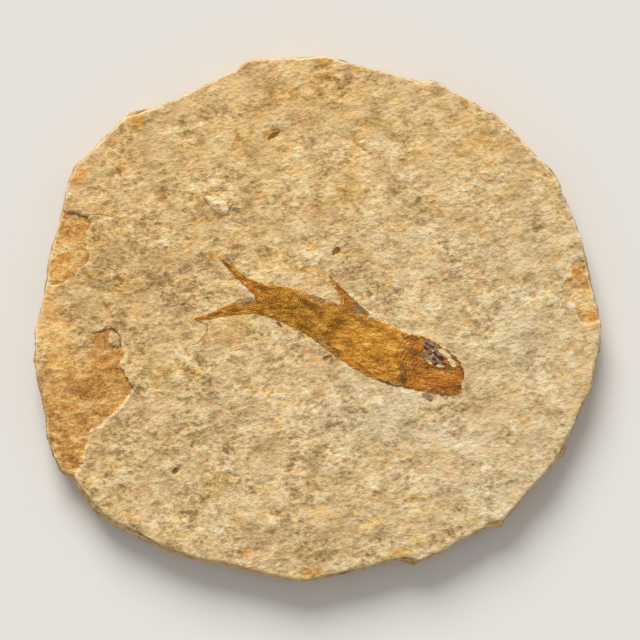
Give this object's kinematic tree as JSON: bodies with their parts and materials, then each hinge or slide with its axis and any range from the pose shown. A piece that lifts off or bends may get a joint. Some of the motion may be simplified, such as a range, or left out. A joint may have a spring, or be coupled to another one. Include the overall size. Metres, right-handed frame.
{
  "type": "fossil fish slab",
  "caption": "Thin, roughly round slab of split limestone with a knapped rim and a small fork-tailed fossil fish in its face, lying flat on its back",
  "frame": {"origin": "under the middle of the slab, on the surface that its underside rests on", "axes": "+Z out of the split face that holds the fish, +X across the slab at its widest, with the fish's head towards +X, and +Y to the top of the face"},
  "size_m": [0.14, 0.1298, 0.0095],
  "materials": {
    "limestone": "matt, granular split face",
    "flaked_bed": "matt, iron-stained",
    "fossil": "satin mineral film"
  },
  "bodies": {
    "root": {"slab": "limestone"}
  },
  "joints": []
}
